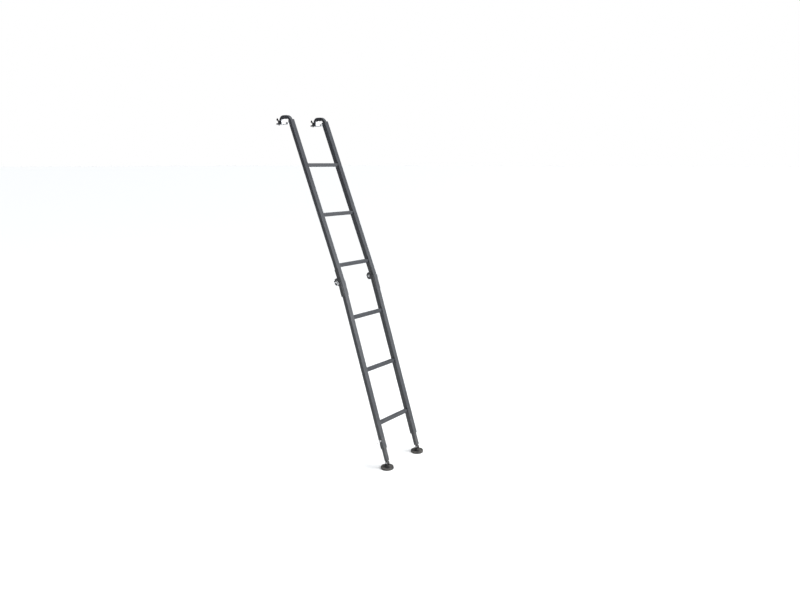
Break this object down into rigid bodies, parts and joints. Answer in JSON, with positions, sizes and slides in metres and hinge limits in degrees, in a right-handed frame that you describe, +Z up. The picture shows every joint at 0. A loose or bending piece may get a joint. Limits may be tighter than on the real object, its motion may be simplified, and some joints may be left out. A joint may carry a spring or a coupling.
{
  "type": "folding roof rack ladder",
  "caption": "Two-section folding ladder that hooks over a roof rack's side bar, with square rails and rungs, locking hinges, sliding legs and tilting round feet.",
  "frame": {"origin": "middle of the flat underside of the left hook's liner, the seat that rests on the rack's bar", "axes": "+X along the rungs from the left rail to the right rail, +Y towards the vehicle, +Z up, with the ladder leaning as in use"},
  "size_m": [0.3702, 0.8508, 1.9252],
  "materials": {
    "black_tube": "satin black powder coat on aluminium tube",
    "black_plastic": "moulded matt plastic",
    "foot_plastic": "moulded matt plastic",
    "hook_rubber": "soft matt rubber",
    "sole_rubber": "ribbed matt rubber",
    "plain_alloy": "brushed plain alloy",
    "black_screw": "black oxide",
    "hinge_plate": "black powder coat on steel plate",
    "bright_steel": "bright zinc plated steel"
  },
  "bodies": {
    "upper_section": {"top_rung": "black_tube", "second_rung": "black_tube", "third_rung": "black_tube", "left_upper_rail": "black_tube", "left_rail_cap": "black_plastic", "left_hook": "black_tube", "left_hook_liner": "hook_rubber", "left_clamp_bracket": "plain_alloy", "left_wing_screw": "black_screw", "left_hinge_fork": "hinge_plate", "left_pivot_bolt": "bright_steel", "right_upper_rail": "black_tube", "right_rail_cap": "black_plastic", "right_hook": "black_tube", "right_hook_liner": "hook_rubber", "right_clamp_bracket": "plain_alloy", "right_wing_screw": "black_screw", "right_hinge_fork": "hinge_plate", "right_pivot_bolt": "bright_steel"},
    "lower_section": {"fourth_rung": "black_tube", "fifth_rung": "black_tube", "bottom_rung": "black_tube", "left_lower_rail": "black_tube", "left_hinge_leaf": "hinge_plate", "left_hinge_lock": "bright_steel", "left_leg_lock": "bright_steel", "left_leg_guide": "black_plastic", "right_lower_rail": "black_tube", "right_hinge_leaf": "hinge_plate", "right_hinge_lock": "bright_steel", "right_leg_lock": "bright_steel", "right_leg_guide": "black_plastic"},
    "left_leg": {"left_leg": "black_tube", "left_ankle_plug": "black_plastic"},
    "right_leg": {"right_leg": "black_tube", "right_ankle_plug": "black_plastic"},
    "left_foot": {"left_foot_dish": "foot_plastic", "left_ankle_pin": "bright_steel", "left_foot_sole": "sole_rubber"},
    "right_foot": {"right_foot_dish": "foot_plastic", "right_ankle_pin": "bright_steel", "right_foot_sole": "sole_rubber"}
  },
  "joints": [
    {"name": "fold", "type": "hinge", "parent": "upper_section", "child": "lower_section", "pos_m": [0.135, -0.40399, -0.90069], "axis": [1, 0, 0], "range_deg": [0, 166]},
    {"name": "left_leg_slide", "type": "slide", "parent": "lower_section", "child": "left_leg", "axis": [0, 0.3173, 0.9483], "range_m": [-0.15, 0.05]},
    {"name": "right_leg_slide", "type": "slide", "parent": "lower_section", "child": "right_leg", "axis": [0, 0.3173, 0.9483], "range_m": [-0.15, 0.05]},
    {"name": "left_foot_tilt", "type": "hinge", "parent": "left_leg", "child": "left_foot", "pos_m": [0, -0.74678, -1.87317], "axis": [1, 0, 0], "range_deg": [-25, 25]},
    {"name": "right_foot_tilt", "type": "hinge", "parent": "right_leg", "child": "right_foot", "pos_m": [0.27, -0.74678, -1.87317], "axis": [1, 0, 0], "range_deg": [-25, 25]}
  ]
}
